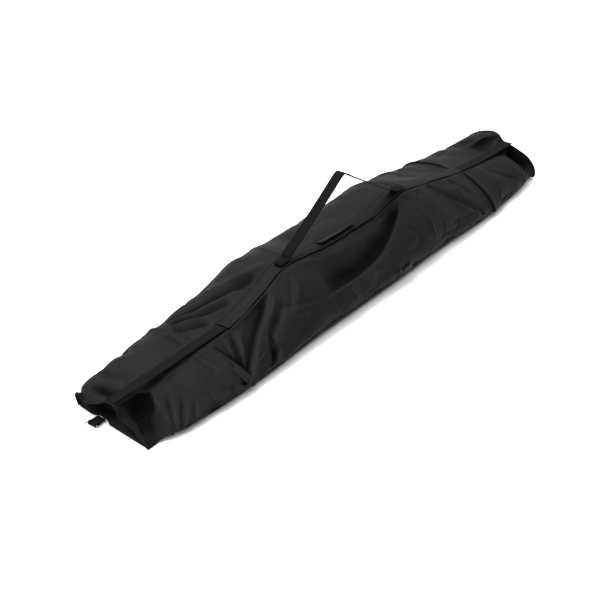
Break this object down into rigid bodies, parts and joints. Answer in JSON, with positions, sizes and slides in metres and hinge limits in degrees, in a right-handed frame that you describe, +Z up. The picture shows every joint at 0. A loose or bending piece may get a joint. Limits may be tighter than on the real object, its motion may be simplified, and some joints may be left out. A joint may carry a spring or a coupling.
{
  "type": "ski bag",
  "caption": "Long soft zipped bag for carrying skis, with a standing webbing carry handle, end grab straps and a small buckle tab at the tail.",
  "frame": {"origin": "middle of the flat base, on the floor, below the top strip's centre line", "axes": "+X along the bag from the tail end towards the tip end, +Z up, -Y the side where the zip flap is open"},
  "size_m": [1.8513, 0.37, 0.3234],
  "materials": {
    "bag_cloth": "smooth black woven polyester with a soft sheen",
    "binding": "black grosgrain binding tape",
    "zip_tape": "black knitted zip tape",
    "zip_coil": "black nylon coil",
    "zip_metal": "black painted metal, satin",
    "zip_pull": "black woven puller",
    "webbing": "black ribbed polyester webbing",
    "buckle_metal": "bright nickel plate",
    "label": "blank woven satin"
  },
  "bodies": {
    "bag": {"base_panel": "bag_cloth", "middle_panel_right": "bag_cloth", "middle_panel_left": "bag_cloth", "tail_section": "bag_cloth", "tip_section": "bag_cloth", "crest_patch": "bag_cloth", "tail_end_panel": "bag_cloth", "tip_end_panel": "bag_cloth", "zip_placket": "bag_cloth", "tail_seam_tape": "binding", "tip_seam_tape": "binding", "tail_piping": "binding", "tip_piping": "binding", "zip_tape_right": "zip_tape", "zip_tape_left": "zip_tape", "zip_coil_right": "zip_coil", "zip_coil_left": "zip_coil", "zip_stop_tail": "zip_metal", "zip_stop_tip": "zip_metal", "tail_strap": "webbing", "tip_strap": "webbing", "anchor_patch_tail": "webbing", "anchor_patch_tip": "webbing"},
    "handle": {"handle_strap": "webbing"},
    "cover_tab": {"slider_cover_tab": "bag_cloth"},
    "tail_slider": {"tail_slider": "zip_metal"},
    "tip_slider": {"tip_slider": "zip_metal"},
    "tail_pull": {"tail_pull": "zip_pull"},
    "tip_pull": {"tip_pull": "zip_pull"},
    "buckle_tab": {"buckle_tab": "webbing"},
    "buckle": {"tail_buckle": "buckle_metal"},
    "label": {"seam_label": "label"}
  },
  "joints": [
    {"name": "handle_swing", "type": "hinge", "parent": "bag", "child": "handle", "pos_m": [-0.266, 0, 0.166], "axis": [0.9998, 0, 0.0207], "range_deg": [-85, 85]},
    {"name": "cover_lift", "type": "hinge", "parent": "bag", "child": "cover_tab", "pos_m": [-0.025, 0.014, 0.1452], "axis": [-1, 0, 0], "range_deg": [0, 140]},
    {"name": "tail_slider_travel", "type": "slide", "parent": "bag", "child": "tail_slider", "axis": [-1, 0, 0], "range_m": [0, 0.06]},
    {"name": "tip_slider_travel", "type": "slide", "parent": "bag", "child": "tip_slider", "axis": [1, 0, 0], "range_m": [0, 0.06]},
    {"name": "tail_pull_swing", "type": "hinge", "parent": "tail_slider", "child": "tail_pull", "pos_m": [-0.012, -0.01, 0.1406], "axis": [0, 0, 1], "range_deg": [0, 90]},
    {"name": "tip_pull_swing", "type": "hinge", "parent": "tip_slider", "child": "tip_pull", "pos_m": [0.012, -0.01, 0.1406], "axis": [0, 0, -1], "range_deg": [0, 90]},
    {"name": "buckle_tab_lift", "type": "hinge", "parent": "bag", "child": "buckle_tab", "pos_m": [-0.904, 0.035, 0.0065], "axis": [0, 1, 0], "range_deg": [-60, 80]},
    {"name": "buckle_turn", "type": "hinge", "parent": "buckle_tab", "child": "buckle", "pos_m": [-0.932, 0.035, 0.0038], "axis": [0, 1, 0], "range_deg": [0, 70]},
    {"name": "label_fold", "type": "hinge", "parent": "bag", "child": "label", "pos_m": [0.097, -0.1547, 0.0271], "axis": [1, 0, 0], "range_deg": [0, 90]}
  ]
}
